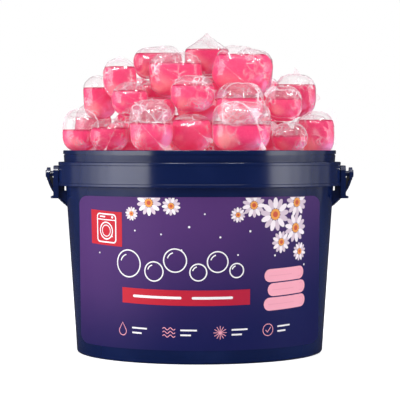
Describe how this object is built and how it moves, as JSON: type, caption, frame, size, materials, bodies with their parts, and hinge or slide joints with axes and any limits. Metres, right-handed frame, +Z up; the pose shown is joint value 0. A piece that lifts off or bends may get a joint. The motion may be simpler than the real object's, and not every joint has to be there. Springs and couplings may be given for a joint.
{
  "type": "laundry pod tub",
  "caption": "Round moulded tub with a ledge, a hanging band and a swinging bail handle, filled and heaped with sealed film packs of liquid detergent.",
  "frame": {"origin": "middle of the foot ring, on the surface that the tub stands on", "axes": "+Z up along the tub, -Y towards the label at the front, the two handle pins at +X and -X"},
  "size_m": [0.2552, 0.2336, 0.2646],
  "materials": {
    "tub_plastic": "smooth glossy navy injection moulding",
    "bail_plastic": "glossy navy injection moulding",
    "label_print": "satin printed film, purple running to navy",
    "pod_film": "clear glossy film",
    "pod_liquid": "pink liquid in clear film"
  },
  "bodies": {
    "tub": {"front_label": "label_print", "pod_back_left": "pod_film", "pod_back_middle_left": "pod_film", "pod_back_middle_right": "pod_film", "pod_back_right": "pod_film", "pod_back_rim_left": "pod_film", "pod_back_rim_right": "pod_film", "pod_back_upper_left": "pod_film", "pod_back_upper_middle_left": "pod_film", "pod_back_upper_middle_right": "pod_film", "pod_back_upper_right": "pod_film", "pod_front_left": "pod_film", "pod_front_left_low": "pod_film", "pod_front_left_outer": "pod_film", "pod_front_middle": "pod_film", "pod_front_middle_upper": "pod_film", "pod_front_right": "pod_film", "pod_front_right_low": "pod_film", "pod_front_right_outer": "pod_film", "pod_front_right_upper": "pod_film", "pod_left_back": "pod_film", "pod_left_front": "pod_film", "pod_left_rear": "pod_film", "pod_left_shoulder": "pod_film", "pod_peak": "pod_film", "pod_right_back": "pod_film", "pod_right_front": "pod_film", "pod_right_rear": "pod_film", "pod_right_shoulder": "pod_film", "pod_under_left": "pod_film", "pod_under_peak": "pod_film", "pod_upper_left": "pod_film", "pod_upper_left_back": "pod_film", "pod_upper_middle": "pod_film", "pod_upper_right": "pod_film", "pod_upper_right_back": "pod_film", "pods_core_lower": "pod_liquid", "pods_core_upper": "pod_liquid", "pods_layer_1": "pod_liquid", "pods_layer_2": "pod_liquid", "pods_layer_3": "pod_liquid", "pods_layer_4": "pod_liquid", "pods_layer_5": "pod_liquid", "pods_layer_6": "pod_liquid", "tub": "tub_plastic"},
    "bail": {"bail_handle": "bail_plastic"}
  },
  "joints": [
    {"name": "bail_swing", "type": "hinge", "parent": "tub", "child": "bail", "pos_m": [0, 0, 0.1467], "axis": [1, 0, 0], "range_deg": [0, 234]}
  ]
}
